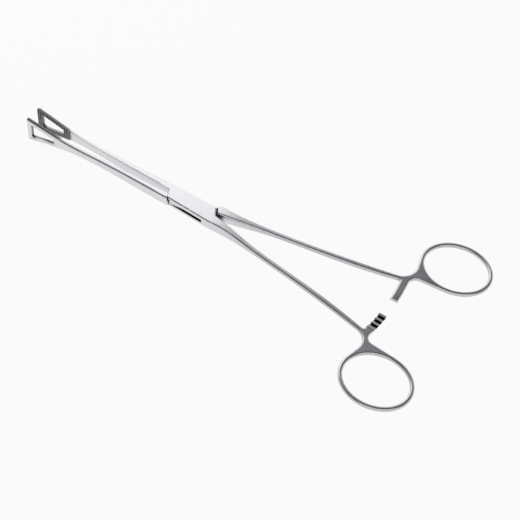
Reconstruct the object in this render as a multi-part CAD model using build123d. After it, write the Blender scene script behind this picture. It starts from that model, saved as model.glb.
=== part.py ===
from build123d import *
import math
import os

# Long ring-handled grasping forceps with a box lock, standing a little open.
# X runs from the jaws to the finger rings, Y across the instrument, Z along the pivot axis.
# The origin is the point where the pivot axis meets the lower face of the box.
# Each half is drawn closed, with its jaw at +Y, its arm at -Y and its mid-plane at Z = 0.
# The insert half is then mirrored, and both are swung apart and lifted into place.
# Lengths are in millimetres and angles in degrees.

# Pose: swing of each half from closed jaws to the open stance
REST_SWING = 2.07

# Grasping ends of the jaws
JAW_REACH = 82.1
TIP_HEIGHT = 12.0
TIP_THICKNESS = 1.55
TIP_CORNER_RADIUS = 0.7
PAD_LENGTH = 17.1
HEEL_THICKNESS = 1.8
HEEL_HEIGHT = 5.6
FACE_GAP = 0.06
HEEL_RELIEF = 0.5

# Window through each grasping end, a triangle with rounded corners
WINDOW_DISTAL_BAR = 2.4
WINDOW_LENGTH = 11.8
WINDOW_DISTAL_HEIGHT = 7.3
WINDOW_HEEL_HEIGHT = 3.0
WINDOW_CORNER_RADIUS = 0.6

# Serrations across the grasping faces
SERRATION_PITCH = 1.0
SERRATION_WIDTH = 0.64
SERRATION_DEPTH = 0.32

# Jaw shafts between the grasping ends and the box
HEEL_TO_WAIST = 19.0
WAIST_OUTER_Y = 1.95
WAIST_INNER_Y = 0.2
WAIST_HEIGHT = 3.8
JAW_SHOULDER_SHARE = 0.417
BOX_JAW_SHOULDER_Y = 2.35
INSERT_JAW_SHOULDER_Y = 3.1
INSERT_JAW_ROOT_Y = 4.2
INSERT_INNER_SHOULDER_Y = 0.85
INSERT_INNER_ROOT_Y = 1.75

# Box lock: the cheeks of the box half, and the web of the insert half that passes between them
BOX_HEIGHT = 4.8
JAW_SIDE_CHEEK_Y = 3.8
ARM_SIDE_CHEEK_Y = 4.3
CROTCH_X = 11.7
JAW_CROTCH_RADIUS = 1.0
ARM_CROTCH_RADIUS = 0.5
CROTCH_GAP = 0.3
CORNER_X = 9.45
SHOULDER_GAP = 0.3
SLOT_CORNER_X = 8.4
WEB_THICKNESS = 1.5
WEB_CLEARANCE = 0.08
WEB_SIDE_INSET = 0.15
WEB_END_GAP = 0.5

# Pivot pin, countersunk and ground flush in both cheeks
PIN_RADIUS = 1.5
PIN_HEAD_RADIUS = 1.9
PIN_HEAD_DEPTH = 0.4
PIN_RUNNING_CLEARANCE = 0.04

# Arms between the box and the handles: distance of the centre line from the closing plane, and width
ARM_ROOT_Y = 2.45
ARM_ROOT_WIDTH = 4.7
ARM_SHOULDER_X = 19.0
ARM_SHOULDER_Y = 2.87
ARM_SHOULDER_WIDTH = 3.3
ARM_NECK_X = 29.0
ARM_NECK_Y = 4.1
ARM_NECK_WIDTH = 2.45
ARM_NECK_HEIGHT = 2.9
ARM_MID_SHARE = 0.456
ARM_MID_SAG = 0.49
ARM_MID_WIDTH = 2.1
ARM_MID_HEIGHT = 2.15
ARM_END_X = 86.0
ARM_END_Y = 11.57
ARM_END_WIDTH = 2.0
HANDLE_HEIGHT = 1.9

# Finger rings and the web between ring, arm and rack
RING_AHEAD_OF_ARM = 6.15
RING_BESIDE_ARM = 5.7
RING_INNER_LENGTH = 26.4
RING_INNER_WIDTH = 21.9
RING_WIRE = 1.7
WEB_OUTER_ANGLE = 168.8
WEB_INNER_ANGLE = 87.5
WEB_OUTER_RADIUS = 6.2
WEB_INNER_RADIUS = 3.2
RACK_FOOT_RADIUS = 0.8

# Ratchet racks, arcs about the pivot
RACK_AHEAD_OF_ARM = 5.55
RACK_WIDTH = 3.3
RACK_TIP_Y = 0.9
RACK_ROOT_RISE = 1.35
TOOTH_COUNT = 3
TOOTH_PITCH = 2.4
TOOTH_LAND = 0.45
TOOTH_DEPTH = 0.85
TOOTH_OVERLAP = 0.35
TIP_LAND = 1.0

# Rounding of the long forged edges: of arms, handles and box sides, and outside the half-round jaws
ARM_EDGE_RADIUS = 0.75
JAW_EDGE_RADIUS = 0.95

HALF_HEIGHT = BOX_HEIGHT / 2
RACK_RADIUS = ARM_END_X + RACK_AHEAD_OF_ARM
RACK_ROOT_Y = ARM_END_Y - RACK_ROOT_RISE
RING_CENTRE_X = ARM_END_X + RING_AHEAD_OF_ARM + RING_INNER_LENGTH / 2
RING_CENTRE_Y = ARM_END_Y + RING_BESIDE_ARM + RING_INNER_WIDTH / 2
ARM_MID_X = ARM_NECK_X + ARM_MID_SHARE * (ARM_END_X - ARM_NECK_X)
ARM_MID_Y = ARM_NECK_Y + ARM_MID_SHARE * (ARM_END_Y - ARM_NECK_Y) - ARM_MID_SAG
HEEL_X = PAD_LENGTH - JAW_REACH
WAIST_X = -HEEL_X - HEEL_TO_WAIST
JAW_SHOULDER_X = CROTCH_X + JAW_SHOULDER_SHARE * (WAIST_X - CROTCH_X)
FACE_Y = FACE_GAP / 2
REACH = 60.0


def meeting(point_a, direction_a, point_b, direction_b):
    """Point where two straight lines in the plane cross."""
    ax, ay = point_a
    bx, by = point_b
    ux, uy = direction_a
    vx, vy = direction_b
    along = ((bx - ax) * vy - (by - ay) * vx) / (ux * vy - uy * vx)
    return (ax + along * ux, ay + along * uy)


def rim(solid, chosen):
    """Edges that run along the upper and lower outlines and pass a test on X and Y."""
    edges = ShapeList()
    for edge in solid.edges():
        centre = edge.center()
        direction = edge.tangent_at(0.5)
        level = abs(direction.Z) < math.hypot(direction.X, direction.Y)
        if level and abs(centre.Z) > HANDLE_HEIGHT / 4 and chosen(centre.X, centre.Y):
            edges.append(edge)
    return edges


def side_blank():
    """What the instrument's outline seen from the side leaves standing."""
    tip = (-JAW_REACH, TIP_HEIGHT / 2)
    heel = (HEEL_X, HEEL_HEIGHT / 2)
    waist = (-WAIST_X, WAIST_HEIGHT / 2)
    jaw_root = (-CROTCH_X, HALF_HEIGHT)
    arm_root = (CROTCH_X, HALF_HEIGHT)
    neck = (ARM_NECK_X, ARM_NECK_HEIGHT / 2)
    middle = (ARM_MID_X, ARM_MID_HEIGHT / 2)
    end = (ARM_END_X, HANDLE_HEIGHT / 2)
    rear = (RING_CENTRE_X + RING_INNER_LENGTH, HANDLE_HEIGHT / 2)
    grasp = Line(tip, heel)
    flank = Spline(heel, waist, jaw_root, tangents=[grasp % 1, (1, 0)])
    box = Line(jaw_root, arm_root)
    arm = Spline(arm_root, neck, middle, end, tangents=[(1, 0), (1, 0)])
    upper = Curve() + [grasp, flank, box, arm, Line(end, rear)]
    lower = mirror(upper, about=Plane.XZ)
    ends = [Line(tip, (tip[0], -tip[1])), Line(rear, (rear[0], -rear[1]))]
    face = make_face(upper.edges() + lower.edges() + ends)
    corners = face.vertices().filter_by_position(Axis.X, -JAW_REACH - 1, -JAW_REACH + 1)
    face = fillet(corners, TIP_CORNER_RADIUS)
    return extrude(Plane.XZ * face, REACH, both=True)


def arm_edges(start_outer, start_inner):
    """Outer and inner edges of an arm in plan, from the box to the handle."""
    stations = [
        (ARM_SHOULDER_X, ARM_SHOULDER_Y, ARM_SHOULDER_WIDTH),
        (ARM_NECK_X, ARM_NECK_Y, ARM_NECK_WIDTH),
        (ARM_MID_X, ARM_MID_Y, ARM_MID_WIDTH),
        (ARM_END_X, ARM_END_Y, ARM_END_WIDTH),
    ]
    outer = [(x, -y - width / 2) for x, y, width in stations]
    inner = [(x, -y + width / 2) for x, y, width in stations]
    return Spline([start_outer] + outer), Spline([start_inner] + inner)


def ring_point(angle):
    """Point on the outside of the finger ring, at an angle of its ellipse."""
    turn = math.radians(angle)
    x = RING_CENTRE_X + (RING_INNER_LENGTH / 2 + RING_WIRE) * math.cos(turn)
    y = -RING_CENTRE_Y + (RING_INNER_WIDTH / 2 + RING_WIRE) * math.sin(turn)
    return (x, y)


def ring_direction(angle):
    """Direction of the ring's outside at an angle of its ellipse, clockwise."""
    turn = math.radians(angle)
    half_length = RING_INNER_LENGTH / 2 + RING_WIRE
    half_width = RING_INNER_WIDTH / 2 + RING_WIRE
    return (half_length * math.sin(turn), -half_width * math.cos(turn))


def crossing(point, direction, radius):
    """Point where a straight line leaves a circle about the pivot."""
    size = math.hypot(direction[0], direction[1])
    ux = direction[0] / size
    uy = direction[1] / size
    along = point[0] * ux + point[1] * uy
    step = math.sqrt(along**2 - point[0] ** 2 - point[1] ** 2 + radius**2) - along
    return (point[0] + step * ux, point[1] + step * uy)


def about_pivot(start, end, radius):
    """Arc about the pivot between two points on the side of the rings."""
    middle_y = (start[1] + end[1]) / 2
    return ThreePointArc(start, (math.sqrt(radius**2 - middle_y**2), middle_y), end)


def handle_edges(arm_outer, arm_inner):
    """Outline of web and rack in plan, from the arm's outer edge round to its inner edge."""
    outer_radius = RACK_RADIUS + RACK_WIDTH / 2
    inner_radius = RACK_RADIUS - RACK_WIDTH / 2
    outer_end = ((arm_outer @ 1).X, (arm_outer @ 1).Y)
    inner_end = ((arm_inner @ 1).X, (arm_inner @ 1).Y)
    outer_slope = ((arm_outer % 1).X, (arm_outer % 1).Y)
    inner_slope = ((arm_inner % 1).X, (arm_inner % 1).Y)
    ring_side = ring_point(WEB_OUTER_ANGLE)
    ring_front = ring_point(WEB_INNER_ANGLE)
    elbow = meeting(outer_end, outer_slope, ring_side, ring_direction(WEB_OUTER_ANGLE))
    heel = crossing(ring_front, ring_direction(WEB_INNER_ANGLE), outer_radius)
    foot = crossing(inner_end, inner_slope, inner_radius)
    tip_rear = (math.sqrt(outer_radius**2 - RACK_TIP_Y**2), -RACK_TIP_Y)
    tip_front = (math.sqrt(inner_radius**2 - RACK_TIP_Y**2), -RACK_TIP_Y)
    web = Polyline(outer_end, elbow, ring_side, (RING_CENTRE_X, -RING_CENTRE_Y), ring_front, heel)
    arcs = [about_pivot(heel, tip_rear, outer_radius), about_pivot(tip_front, foot, inner_radius)]
    return web.edges() + [arcs[0], Line(tip_rear, tip_front), arcs[1], Line(foot, inner_end)]


def with_handle(face, handle):
    """Round the inside corners of a half's web in plan and add its finger ring."""
    elbow = handle[0] @ 1
    heel = handle[4] @ 1
    foot = handle[-1] @ 0
    for corner, radius in ((elbow, WEB_OUTER_RADIUS), (heel, WEB_INNER_RADIUS), (foot, RACK_FOOT_RADIUS)):
        face = fillet(face.vertices().sort_by_distance(corner)[0], radius)
    middle = Pos(RING_CENTRE_X, -RING_CENTRE_Y)
    outside = middle * Ellipse(RING_INNER_LENGTH / 2 + RING_WIRE, RING_INNER_WIDTH / 2 + RING_WIRE)
    inside = middle * Ellipse(RING_INNER_LENGTH / 2, RING_INNER_WIDTH / 2)
    return face + outside - inside


def grasping_end():
    """Plan of a jaw's end, from the outer corner of its tip to the step behind the grasping face."""
    tip = [(-JAW_REACH, TIP_THICKNESS), (-JAW_REACH, FACE_Y)]
    return Polyline(*tip, (HEEL_X, FACE_Y), (HEEL_X, HEEL_RELIEF)).edges()


def jaw_outer(root, shoulder_y):
    """Outer edge of a jaw in plan, from its root at the box to the tip."""
    stations = [
        root,
        (-JAW_SHOULDER_X, shoulder_y),
        (-WAIST_X, WAIST_OUTER_Y),
        (HEEL_X, HEEL_THICKNESS),
        (-JAW_REACH, TIP_THICKNESS),
    ]
    return Spline(stations)


def box_half_plan():
    """Outline of the box half from above: jaw, cheeks, arm, web, rack and ring."""
    corner_front = (-CORNER_X, -ARM_SIDE_CHEEK_Y)
    corner_rear = (CORNER_X, JAW_SIDE_CHEEK_Y)
    crotch_front = (-CROTCH_X, CROTCH_GAP / 2)
    crotch_rear = (CROTCH_X, -CROTCH_GAP / 2)
    side_slope = math.tan(math.radians(REST_SWING))
    jaw_root = (-CROTCH_X, JAW_SIDE_CHEEK_Y - (CROTCH_X + CORNER_X) * side_slope)
    arm_root = (CROTCH_X, -ARM_ROOT_Y - ARM_ROOT_WIDTH / 2)
    jaw_inner = Spline((HEEL_X, HEEL_RELIEF), (-WAIST_X, WAIST_INNER_Y), crotch_front)
    arm_outer, arm_inner = arm_edges(arm_root, crotch_rear)
    handle = handle_edges(arm_outer, arm_inner)
    edges = grasping_end() + jaw_inner.edges()
    edges += Polyline(crotch_front, corner_front, arm_root).edges()
    edges += arm_outer.edges() + handle + arm_inner.edges()
    edges += Polyline(crotch_rear, corner_rear, jaw_root).edges()
    edges += jaw_outer(jaw_root, BOX_JAW_SHOULDER_Y).edges()
    face = make_face(edges)
    face = fillet(face.vertices().sort_by_distance(crotch_front)[0], JAW_CROTCH_RADIUS)
    face = fillet(face.vertices().sort_by_distance(crotch_rear)[0], ARM_CROTCH_RADIUS)
    return with_handle(face, handle)


def insert_half_plan():
    """Outline of the insert half from above: jaw, web of the box, arm, web, rack and ring."""
    inner_root = (-CORNER_X, INSERT_INNER_ROOT_Y)
    outer_root = (-CORNER_X, INSERT_JAW_ROOT_Y)
    web_rear = (SLOT_CORNER_X - WEB_END_GAP, JAW_SIDE_CHEEK_Y - WEB_SIDE_INSET)
    web_front = (-web_rear[0], -web_rear[1])
    web_start = (-CORNER_X, web_rear[1])
    web_end = (CORNER_X, web_front[1])
    arm_crotch = (CROTCH_X, -CROTCH_GAP / 2)
    arm_root = (CROTCH_X, -ARM_ROOT_Y - ARM_ROOT_WIDTH / 2)
    jaw_inner = Spline(
        (HEEL_X, HEEL_RELIEF),
        (-WAIST_X, WAIST_INNER_Y),
        (-JAW_SHOULDER_X, INSERT_INNER_SHOULDER_Y),
        inner_root,
    )
    arm_outer, arm_inner = arm_edges(arm_root, arm_crotch)
    handle = handle_edges(arm_outer, arm_inner)
    edges = grasping_end() + jaw_inner.edges()
    edges += Polyline(inner_root, web_front, web_end, (CORNER_X, arm_root[1]), arm_root).edges()
    edges += arm_outer.edges() + handle + arm_inner.edges()
    edges += Polyline(arm_crotch, web_rear, web_start, outer_root).edges()
    edges += jaw_outer(outer_root, INSERT_JAW_SHOULDER_Y).edges()
    face = make_face(edges)
    face = fillet(face.vertices().sort_by_distance(arm_crotch)[0], ARM_CROTCH_RADIUS)
    return with_handle(face, handle)


def forging(plan, box_side):
    """A half before machining, with its long edges rounded."""
    body = extrude(plan, REACH, both=True) & side_blank()
    arm_x = CROTCH_X + ARM_ROOT_WIDTH / 2
    arm_y = -RACK_TIP_Y - ARM_EDGE_RADIUS
    body = fillet(rim(body, lambda x, y: box_side(x, y) or (x > arm_x and y < arm_y)), ARM_EDGE_RADIUS)
    jaw = rim(body, lambda x, y: HEEL_X < x < -CROTCH_X and y > WAIST_OUTER_Y / 2)
    return fillet(jaw, JAW_EDGE_RADIUS)


def window():
    """Triangular window through a grasping end, as the solid that is cut away."""
    distal_x = -JAW_REACH + WINDOW_DISTAL_BAR
    heel_x = distal_x + WINDOW_LENGTH
    outline = Polyline(
        (distal_x, WINDOW_DISTAL_HEIGHT / 2),
        (heel_x, WINDOW_HEEL_HEIGHT / 2),
        (heel_x, -WINDOW_HEEL_HEIGHT / 2),
        (distal_x, -WINDOW_DISTAL_HEIGHT / 2),
        close=True,
    )
    face = make_face(outline)
    face = fillet(face.vertices(), WINDOW_CORNER_RADIUS)
    return extrude(Plane.XZ * face, TIP_HEIGHT, both=True)


def serrations():
    """Row of V grooves across the grasping face, as one set of solids that are cut away."""
    half = SERRATION_WIDTH / 2
    groove = Polyline((-half, 0), (0, SERRATION_DEPTH), (half, 0), (0, -SERRATION_DEPTH), close=True)
    cutter = extrude(make_face(groove), TIP_HEIGHT, both=True)
    count = int(PAD_LENGTH / SERRATION_PITCH)
    return [Pos(HEEL_X - (step + 0.5) * SERRATION_PITCH, FACE_Y) * cutter for step in range(count)]


def rack_cutters():
    """What is milled off the top of a rack: its surface down to the crests, and its notches."""
    inner_radius = RACK_RADIUS - RACK_WIDTH
    length = RACK_ROOT_Y
    surface = Pos(RACK_RADIUS, -length / 2, TOOTH_OVERLAP) * Box(
        2 * RACK_WIDTH, length, HANDLE_HEIGHT, align=(Align.CENTER, Align.CENTER, Align.MIN)
    )
    cutters = [surface]
    for tooth in range(TOOTH_COUNT):
        lock_y = -RACK_TIP_Y - TIP_LAND - tooth * TOOTH_PITCH
        crest_y = lock_y - TOOTH_PITCH + TOOTH_LAND
        notch = Polyline(
            (lock_y, TOOTH_OVERLAP - TOOTH_DEPTH),
            (lock_y, TOOTH_OVERLAP),
            (lock_y, HANDLE_HEIGHT),
            (crest_y, HANDLE_HEIGHT),
            (crest_y, TOOTH_OVERLAP),
            close=True,
        )
        cutters.append(Pos(inner_radius) * extrude(Plane.YZ * make_face(notch), 2 * RACK_WIDTH))
    return cutters


def pin():
    """Pivot pin with its two countersunk ends."""
    shank = Cylinder(PIN_RADIUS, BOX_HEIGHT)
    flare = Pos(0, 0, HALF_HEIGHT - PIN_HEAD_DEPTH / 2) * Cone(PIN_RADIUS, PIN_HEAD_RADIUS, PIN_HEAD_DEPTH)
    return shank + flare + mirror(flare, about=Plane.XY)


def beside(corner, crotch, gap):
    """Ends of a wall through two points, moved out from the pivot by a gap, three times as long."""
    step_x = crotch[0] - corner[0]
    step_y = crotch[1] - corner[1]
    turn = gap / math.hypot(step_x, step_y)
    shift_x = abs(step_y) * turn * math.copysign(1, corner[0])
    shift_y = abs(step_x) * turn * math.copysign(1, corner[1])
    before = (corner[0] - step_x + shift_x, corner[1] - step_y + shift_y)
    beyond = (crotch[0] + step_x + shift_x, crotch[1] + step_y + shift_y)
    return before, beyond


def slot():
    """Slot through the box half between its cheeks, where the web of the insert half passes."""
    rear = beside((SLOT_CORNER_X, -JAW_SIDE_CHEEK_Y), (CROTCH_X, -CROTCH_GAP / 2), 0)
    front = [(-x, -y) for x, y in rear]
    plan = make_face(Polyline(*rear, *front, close=True))
    return extrude(plan, WEB_THICKNESS / 2 + WEB_CLEARANCE, both=True)


def recesses():
    """Spaces above and below the web of the insert half, where the cheeks of the box half lie."""
    rear_corner = (CORNER_X, -JAW_SIDE_CHEEK_Y)
    rear = beside(rear_corner, (CROTCH_X, CROTCH_GAP / 2), SHOULDER_GAP)
    front = beside((-CORNER_X, ARM_SIDE_CHEEK_Y), (-CROTCH_X, -CROTCH_GAP / 2), SHOULDER_GAP)
    plan = make_face(Polyline(*rear, *front, close=True))
    upper = Pos(0, 0, WEB_THICKNESS / 2) * extrude(plan, BOX_HEIGHT)
    return [upper, mirror(upper, about=Plane.XY)]


def box_half():
    """Half whose cheeks form the box: far jaw, slotted box, near arm and the rack with its teeth up."""
    body = forging(box_half_plan(), lambda x, y: abs(x) < PIN_HEAD_RADIUS and y < 0)
    return body - rack_cutters() - slot() - pin() - window() - serrations()


def insert_half():
    """Half that passes through the box: near jaw, web, far arm and the rack with its teeth down."""
    body = forging(insert_half_plan(), lambda x, y: CORNER_X < x < CROTCH_X and y < -JAW_SIDE_CHEEK_Y)
    body -= [mirror(cutter, about=Plane.XY) for cutter in rack_cutters()]
    hole = Cylinder(PIN_RADIUS + PIN_RUNNING_CLEARANCE, BOX_HEIGHT)
    return body - recesses() - hole - window() - serrations()


def placed(solid, swing):
    """Swing a solid about the pivot and lift it so that the box stands on Z = 0."""
    return Pos(0, 0, HALF_HEIGHT) * Rot(0, 0, swing) * solid


def build():
    """Write one STEP file per physical piece, in the open stance."""
    os.makedirs("parts", exist_ok=True)
    near_arm_half = placed(box_half(), -REST_SWING)
    far_arm_half = placed(mirror(insert_half(), about=Plane.XZ), REST_SWING)
    rivet = placed(pin(), -REST_SWING)
    export_step(near_arm_half, "parts/box_half.step")
    export_step(far_arm_half, "parts/insert_half.step")
    export_step(rivet, "parts/pivot_pin.step")


if __name__ == "__main__":
    build()
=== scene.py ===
import math

import bmesh
import bpy
from mathutils import Matrix, Vector


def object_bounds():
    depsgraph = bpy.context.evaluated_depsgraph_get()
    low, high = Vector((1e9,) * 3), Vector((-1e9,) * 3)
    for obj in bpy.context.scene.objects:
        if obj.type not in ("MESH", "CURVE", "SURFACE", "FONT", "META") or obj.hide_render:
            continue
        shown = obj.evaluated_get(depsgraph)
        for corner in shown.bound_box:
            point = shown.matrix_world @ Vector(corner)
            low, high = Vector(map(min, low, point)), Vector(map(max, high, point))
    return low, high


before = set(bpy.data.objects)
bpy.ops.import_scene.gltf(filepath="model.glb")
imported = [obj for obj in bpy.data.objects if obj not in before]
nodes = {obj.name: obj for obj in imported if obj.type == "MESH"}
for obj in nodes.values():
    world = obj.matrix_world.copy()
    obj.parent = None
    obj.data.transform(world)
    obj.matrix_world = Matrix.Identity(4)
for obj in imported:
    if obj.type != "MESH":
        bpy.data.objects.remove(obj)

cad_low, cad_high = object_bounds()


# Box half: the near arm with the slotted box, the far jaw and the rack with its teeth up.
# One forging of martensitic stainless steel, hardened, brushed along its length to a satin
# finish and tumbled. Shade is painted into its recesses.

GRAIN_ALONG = 140
GRAIN_ACROSS = 3600
GRAIN_DETAIL = 3
GRAIN_DEPTH = 0.000006
GRAIN_STRENGTH = 0.35
GRAIN_ROUGHNESS = 0.10
CLOUD_SCALE = 70
CLOUD_DETAIL = 5
CLOUD_RANGE = (0.3, 0.7)
CLOUD_ROUGHNESS = (0.19, 0.30)
# Painted light and shade: the jaws and the box are painted lighter steel, the handles darker
# steel.
LIT_STEEL_OF_JAWS = (0.72, 0.72, 0.74, 1)
SHADED_STEEL_OF_HANDLES = (0.54, 0.54, 0.56, 1)
HANDLE_SHADE_RAMP_AT_X = (0.010, 0.040)
# Painted shade at the biting ends: their faces near the bite are painted dark steel.
BITE_SHADE_STEEL = (0.20, 0.20, 0.21, 1)
BITE_SHADE_ENDS_AT_X = (-0.0656, -0.0646)
BITE_SHADE_DEPTH = (0.0011, 0.0015)
JAW_SWING = math.radians(2.07)
# Painted shade in notches, slots and corners, found by ambient occlusion.
STEEL_IN_PAINTED_SHADE = (0.03, 0.03, 0.033, 1)
PAINTED_SHADE_REACH = 0.0022
PAINTED_SHADE_OPENNESS = (0.50, 0.98)
PAINTED_SHADE_SAMPLES = 6
EDGE_ROUNDING = 0.00055
EDGE_SAMPLES = 5
JAWS_END_AT_X = -0.0165


def feed(tree, socket, source):
    """Give a node's input either another node's output or a fixed value."""
    if isinstance(source, bpy.types.NodeSocket):
        tree.links.new(source, socket)
    else:
        socket.default_value = source


def calculate(tree, operation, *terms):
    """Math node on outputs and numbers."""
    node = tree.nodes.new("ShaderNodeMath")
    node.operation = operation
    for socket, term in zip(node.inputs, terms):
        feed(tree, socket, term)
    return node.outputs["Value"]


def spread(tree, value, between, to=(0, 1), curve="LINEAR"):
    """Map Range node: the pair between becomes the pair to."""
    node = tree.nodes.new("ShaderNodeMapRange")
    node.interpolation_type = curve
    node.inputs["From Min"].default_value, node.inputs["From Max"].default_value = between
    node.inputs["To Min"].default_value, node.inputs["To Max"].default_value = to
    tree.links.new(value, node.inputs["Value"])
    return node.outputs["Result"]


def mix_colours(tree, share, first, second):
    """Mix node on two colours, with all of the second where share is 1."""
    node = tree.nodes.new("ShaderNodeMix")
    node.data_type = "RGBA"
    feed(tree, node.inputs["Factor"], share)
    feed(tree, node.inputs["A"], first)
    feed(tree, node.inputs["B"], second)
    return node.outputs["Result"]


def satin_steel(name, bar):
    """Brushed stainless steel with painted shade. Another bar is another place in the pattern
    of scratches.
    """
    material = bpy.data.materials.new(name)
    material.use_nodes = True
    tree = material.node_tree
    steel = tree.nodes["Principled BSDF"]
    steel.inputs["Metallic"].default_value = 1

    place = tree.nodes.new("ShaderNodeTexCoord").outputs["Object"]
    stretch = tree.nodes.new("ShaderNodeMapping")
    stretch.inputs["Location"].default_value = (bar, bar, bar)
    stretch.inputs["Scale"].default_value = (GRAIN_ALONG, GRAIN_ACROSS, GRAIN_ACROSS)
    tree.links.new(place, stretch.inputs["Vector"])
    scratches = tree.nodes.new("ShaderNodeTexNoise")
    scratches.inputs["Scale"].default_value = 1
    scratches.inputs["Detail"].default_value = GRAIN_DETAIL
    tree.links.new(stretch.outputs["Vector"], scratches.inputs["Vector"])
    grain = scratches.outputs["Fac"]

    clouds = tree.nodes.new("ShaderNodeTexNoise")
    clouds.inputs["Scale"].default_value = CLOUD_SCALE
    clouds.inputs["Detail"].default_value = CLOUD_DETAIL
    tree.links.new(place, clouds.inputs["Vector"])

    # Handling and tumbling leave the satin uneven: the clouds and the scratches both change it.
    cloudy = spread(tree, clouds.outputs["Fac"], CLOUD_RANGE, CLOUD_ROUGHNESS)
    uneven = calculate(tree, "MULTIPLY_ADD", grain, GRAIN_ROUGHNESS, cloudy)
    tree.links.new(uneven, steel.inputs["Roughness"])

    # Painted shade: the handles are painted darker steel than the jaws and the box, for the
    # shadowed floor that their sides mirror.
    split = tree.nodes.new("ShaderNodeSeparateXYZ")
    tree.links.new(place, split.inputs["Vector"])
    x, y = split.outputs["X"], split.outputs["Y"]
    handle_shade = spread(tree, x, HANDLE_SHADE_RAMP_AT_X)
    steel_lit_and_shaded = mix_colours(tree, handle_shade, LIT_STEEL_OF_JAWS, SHADED_STEEL_OF_HANDLES)

    # The biting ends are serrated and pierced. Painted shade: their faces near the bite are
    # painted dark steel, for the shade between the jaws and in the serrations.
    # The depth behind the bite is taken square to the jaw, which stands open by its swing.
    sideways = calculate(tree, "ABSOLUTE", y)
    behind_bite = calculate(tree, "MULTIPLY_ADD", x, math.tan(JAW_SWING), sideways)
    near_bite = spread(tree, behind_bite, BITE_SHADE_DEPTH, (1, 0))
    at_end = spread(tree, x, BITE_SHADE_ENDS_AT_X, (1, 0))
    bite_shade = calculate(tree, "MULTIPLY", near_bite, at_end)
    steel_with_bite_shade = mix_colours(tree, bite_shade, steel_lit_and_shaded, BITE_SHADE_STEEL)

    # Painted shade: notches, slots and corners, found by ambient occlusion, are painted nearly
    # black.
    shade_probe = tree.nodes.new("ShaderNodeAmbientOcclusion")
    shade_probe.samples = PAINTED_SHADE_SAMPLES
    shade_probe.inputs["Distance"].default_value = PAINTED_SHADE_REACH
    unshaded = spread(tree, shade_probe.outputs["AO"], PAINTED_SHADE_OPENNESS)
    steel_with_painted_shade = mix_colours(tree, unshaded, STEEL_IN_PAINTED_SHADE, steel_with_bite_shade)
    tree.links.new(steel_with_painted_shade, steel.inputs["Base Color"])

    # The edges of the jaws are rounded a little by hand.
    along_jaws = calculate(tree, "LESS_THAN", x, JAWS_END_AT_X)
    rounded = tree.nodes.new("ShaderNodeBevel")
    rounded.samples = EDGE_SAMPLES
    feed(tree, rounded.inputs["Radius"], calculate(tree, "MULTIPLY", along_jaws, EDGE_ROUNDING))

    # The scratches are fine grooves.
    relief = tree.nodes.new("ShaderNodeBump")
    relief.inputs["Strength"].default_value = GRAIN_STRENGTH
    relief.inputs["Distance"].default_value = GRAIN_DEPTH
    tree.links.new(grain, relief.inputs["Height"])
    tree.links.new(rounded.outputs["Normal"], relief.inputs["Normal"])
    tree.links.new(relief.outputs["Normal"], steel.inputs["Normal"])
    return material


nodes["box_half"].data.materials.clear()
nodes["box_half"].data.materials.append(satin_steel("satin_steel_box_half", bar=0))


# Insert half: the far arm, the web that passes through the box, and the near jaw.
# Forged, brushed and tumbled as the other half is, from another bar.

nodes["insert_half"].data.materials.clear()
nodes["insert_half"].data.materials.append(satin_steel("satin_steel_insert_half", bar=3.7))


# Pivot pin: a hardened steel rod, riveted into both cheeks of the box half.
# Its ends are ground and brushed together with the cheeks, so it hardly shows.

nodes["pivot_pin"].data.materials.clear()
nodes["pivot_pin"].data.materials.append(satin_steel("satin_steel_pin", bar=0))


# Floor: a plain white table top that the forceps lies on.
# To the eye and in the metal it is the white of the background, and it keeps the shadow.

FLOOR_SIZE = 6
FLOOR_BELOW = 0.0001
FLOOR_WHITE = (0.90, 0.90, 0.90, 1)
FLOOR_ROUGHNESS = 0.9
FLOOR_SPECULAR = 0.1
FLOOR_GLOW = 0.92

top = bmesh.new()
bmesh.ops.create_grid(top, x_segments=1, y_segments=1, size=FLOOR_SIZE / 2)
bmesh.ops.translate(top, verts=top.verts, vec=(0, 0, cad_low.z - FLOOR_BELOW))
floor_mesh = bpy.data.meshes.new("floor")
top.to_mesh(floor_mesh)
top.free()
floor = bpy.data.objects.new("floor", floor_mesh)
bpy.context.scene.collection.objects.link(floor)

white = bpy.data.materials.new("white_table")
white.use_nodes = True
tree = white.node_tree
paint = tree.nodes["Principled BSDF"]
paint.inputs["Base Color"].default_value = FLOOR_WHITE
paint.inputs["Roughness"].default_value = FLOOR_ROUGHNESS
paint.inputs["Specular IOR Level"].default_value = FLOOR_SPECULAR
glow = tree.nodes.new("ShaderNodeEmission")
glow.inputs["Color"].default_value = (1, 1, 1, 1)
glow.inputs["Strength"].default_value = 1
path = tree.nodes.new("ShaderNodeLightPath").outputs
seen = calculate(tree, "MAXIMUM", path["Is Camera Ray"], path["Is Glossy Ray"])
seen = calculate(tree, "MAXIMUM", seen, path["Is Transmission Ray"])
blend = tree.nodes.new("ShaderNodeMixShader")
feed(tree, blend.inputs["Fac"], calculate(tree, "MULTIPLY", seen, FLOOR_GLOW))
tree.links.new(paint.outputs["BSDF"], blend.inputs[1])
tree.links.new(glow.outputs["Emission"], blend.inputs[2])
tree.links.new(blend.outputs["Shader"], tree.nodes["Material Output"].inputs["Surface"])
floor_mesh.materials.append(white)


# Light: a white tent, open to a dim ceiling and lower on the camera's side, with a soft box
# behind the jaws and another before the rings. The tops of jaws and box mirror the first,
# near sides and rounded edges the tent and the second, the tops of the handles the ceiling.

WALL = (1.0, 1.0, 1.01, 1)
CEILING = (0.16, 0.16, 0.17, 1)
TENT_AXIS = (0.112, -0.195, 0.974)
WALL_TOP = math.sin(math.radians(10))
CEILING_EDGE = math.sin(math.radians(27))

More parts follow.
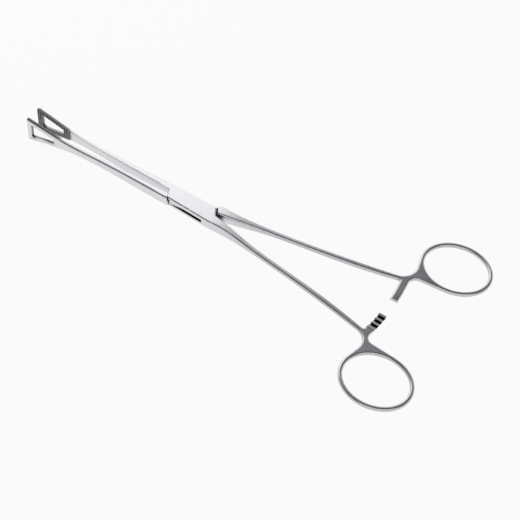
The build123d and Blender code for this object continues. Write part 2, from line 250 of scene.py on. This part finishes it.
world = bpy.data.worlds.new("white_tent")
world.use_nodes = True
tree = world.node_tree
height = tree.nodes.new("ShaderNodeVectorMath")
height.operation = "DOT_PRODUCT"
height.inputs[1].default_value = TENT_AXIS
around = tree.nodes.new("ShaderNodeTexCoord").outputs["Generated"]
tree.links.new(around, height.inputs[0])
rim = spread(tree, height.outputs["Value"], (WALL_TOP, CEILING_EDGE), curve="SMOOTHSTEP")
cloth = mix_colours(tree, rim, WALL, CEILING)
tree.links.new(cloth, tree.nodes["Background"].inputs["Color"])
bpy.context.scene.world = world


def soft_box(name, direction, sideways, distance, width, height, radiance):
    """Area lamp that faces the pivot from a direction, its width turned along sideways."""
    lamp = bpy.data.lights.new(name, "AREA")
    lamp.shape = "RECTANGLE"
    lamp.size = width
    lamp.size_y = height
    lamp.energy = radiance * width * height * math.pi
    out = Vector(direction).normalized()
    across = Vector(sideways)
    across = (across - out * across.dot(out)).normalized()
    along = out.cross(across)
    holder = bpy.data.objects.new(name, lamp)
    turn = Matrix((across, along, out)).transposed().to_4x4()
    holder.matrix_world = Matrix.Translation(out * distance) @ turn
    bpy.context.scene.collection.objects.link(holder)


soft_box(
    "behind_jaws",
    direction=(-0.62, 0.45, 0.64),
    sideways=(0.938, 0.201, 0.280),
    distance=0.5,
    width=0.51,
    height=0.44,
    radiance=1.10,
)
soft_box(
    "before_rings",
    direction=(0.45, -0.78, 0.43),
    sideways=(0.866, 0.5, 0),
    distance=1.5,
    width=2.4,
    height=0.9,
    radiance=1.25,
)


# Camera: the photograph's view, from above the handles' near side.
# The place and the angle of view were fitted to the photograph.

CAMERA_AZIMUTH = math.radians(29.906)
CAMERA_ELEVATION = math.radians(50.992)
CAMERA_ROLL = math.radians(3.749)
CAMERA_DISTANCE = 0.55277
CAMERA_TARGET = Vector((0.037789, -0.008246, 0.0024))
SENSOR_WIDTH_MM = 36
FOCAL_LENGTH_MM = 96.98

back = Vector(
    (
        math.sin(CAMERA_AZIMUTH) * math.cos(CAMERA_ELEVATION),
        -math.cos(CAMERA_AZIMUTH) * math.cos(CAMERA_ELEVATION),
        math.sin(CAMERA_ELEVATION),
    )
)
right = Vector((0, 0, 1)).cross(back).normalized()
up = back.cross(right)
rolled_right = right * math.cos(CAMERA_ROLL) + up * math.sin(CAMERA_ROLL)
rolled_up = up * math.cos(CAMERA_ROLL) - right * math.sin(CAMERA_ROLL)
lens = bpy.data.cameras.new("camera")
lens.sensor_width = SENSOR_WIDTH_MM
lens.lens = FOCAL_LENGTH_MM
camera = bpy.data.objects.new("camera", lens)
turn = Matrix((rolled_right, rolled_up, back)).transposed().to_4x4()
camera.matrix_world = Matrix.Translation(CAMERA_TARGET + back * CAMERA_DISTANCE) @ turn
bpy.context.scene.collection.objects.link(camera)
bpy.context.scene.camera = camera

bpy.context.scene.view_settings.view_transform = "Standard"
